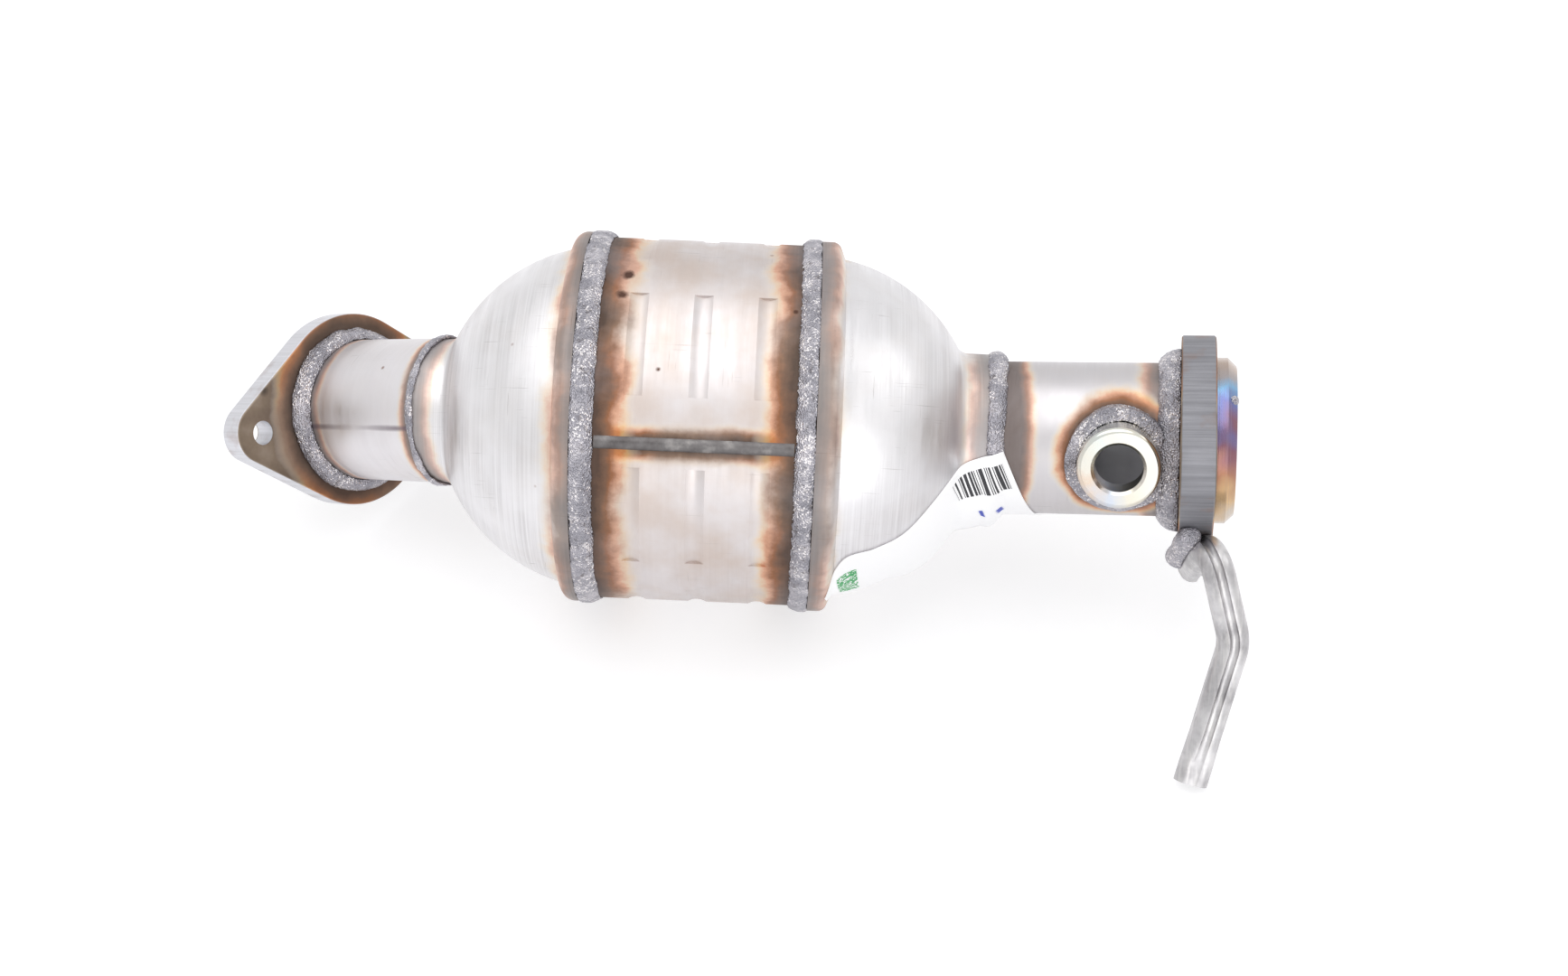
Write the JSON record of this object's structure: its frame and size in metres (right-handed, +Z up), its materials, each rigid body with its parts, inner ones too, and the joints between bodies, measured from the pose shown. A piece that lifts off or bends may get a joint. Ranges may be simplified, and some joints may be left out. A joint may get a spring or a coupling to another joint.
{
  "type": "catalytic converter",
  "caption": "Welded steel catalytic converter with a ribbed can between two domes, a bent inlet pipe with a bolted flange, an outlet pipe with a sensor boss and round flange, and a hanger rod.",
  "frame": {"origin": "centre of the outlet flange's joint face, on the outlet pipe's axis", "axes": "+X along the can's axis from inlet to outlet; +Z up with the converter lying on a floor, as in the picture; +Y completes a right-handed frame"},
  "size_m": [0.3543, 0.1687, 0.1304],
  "materials": {
    "can_steel": "satin rolled sheet, tinted by the welds",
    "dome_steel": "satin pressed sheet with fine spun lines",
    "pipe_steel": "satin drawn tube",
    "plate_steel": "dull scaled plate with heat tint",
    "turned_steel": "turned, with straw and blue heat tint",
    "weld_metal": "lumpy weld bead",
    "rod_steel": "dull rolled bar",
    "brick_ceramic": "matte porous ceramic",
    "mat_fibre": "matte fibre mat",
    "mesh_wire": "knitted wire"
  },
  "bodies": {
    "root": {"shell": "can_steel", "shell_seam_weld": "weld_metal", "inlet_dome": "dome_steel", "outlet_dome": "dome_steel", "inlet_shell_weld": "weld_metal", "outlet_shell_weld": "weld_metal", "inlet_pipe": "pipe_steel", "inlet_neck_weld": "weld_metal", "inlet_flange": "plate_steel", "inlet_flange_weld": "weld_metal", "outlet_pipe": "pipe_steel", "outlet_neck_weld": "weld_metal", "outlet_flange": "plate_steel", "outlet_flange_weld": "weld_metal", "outlet_seat_ring": "turned_steel", "sensor_boss": "turned_steel", "sensor_boss_weld": "weld_metal", "hanger_rod": "rod_steel", "hanger_weld": "weld_metal", "catalyst_brick": "brick_ceramic", "support_mat": "mat_fibre", "inlet_mesh_seal": "mesh_wire", "outlet_mesh_seal": "mesh_wire"}
  },
  "joints": []
}
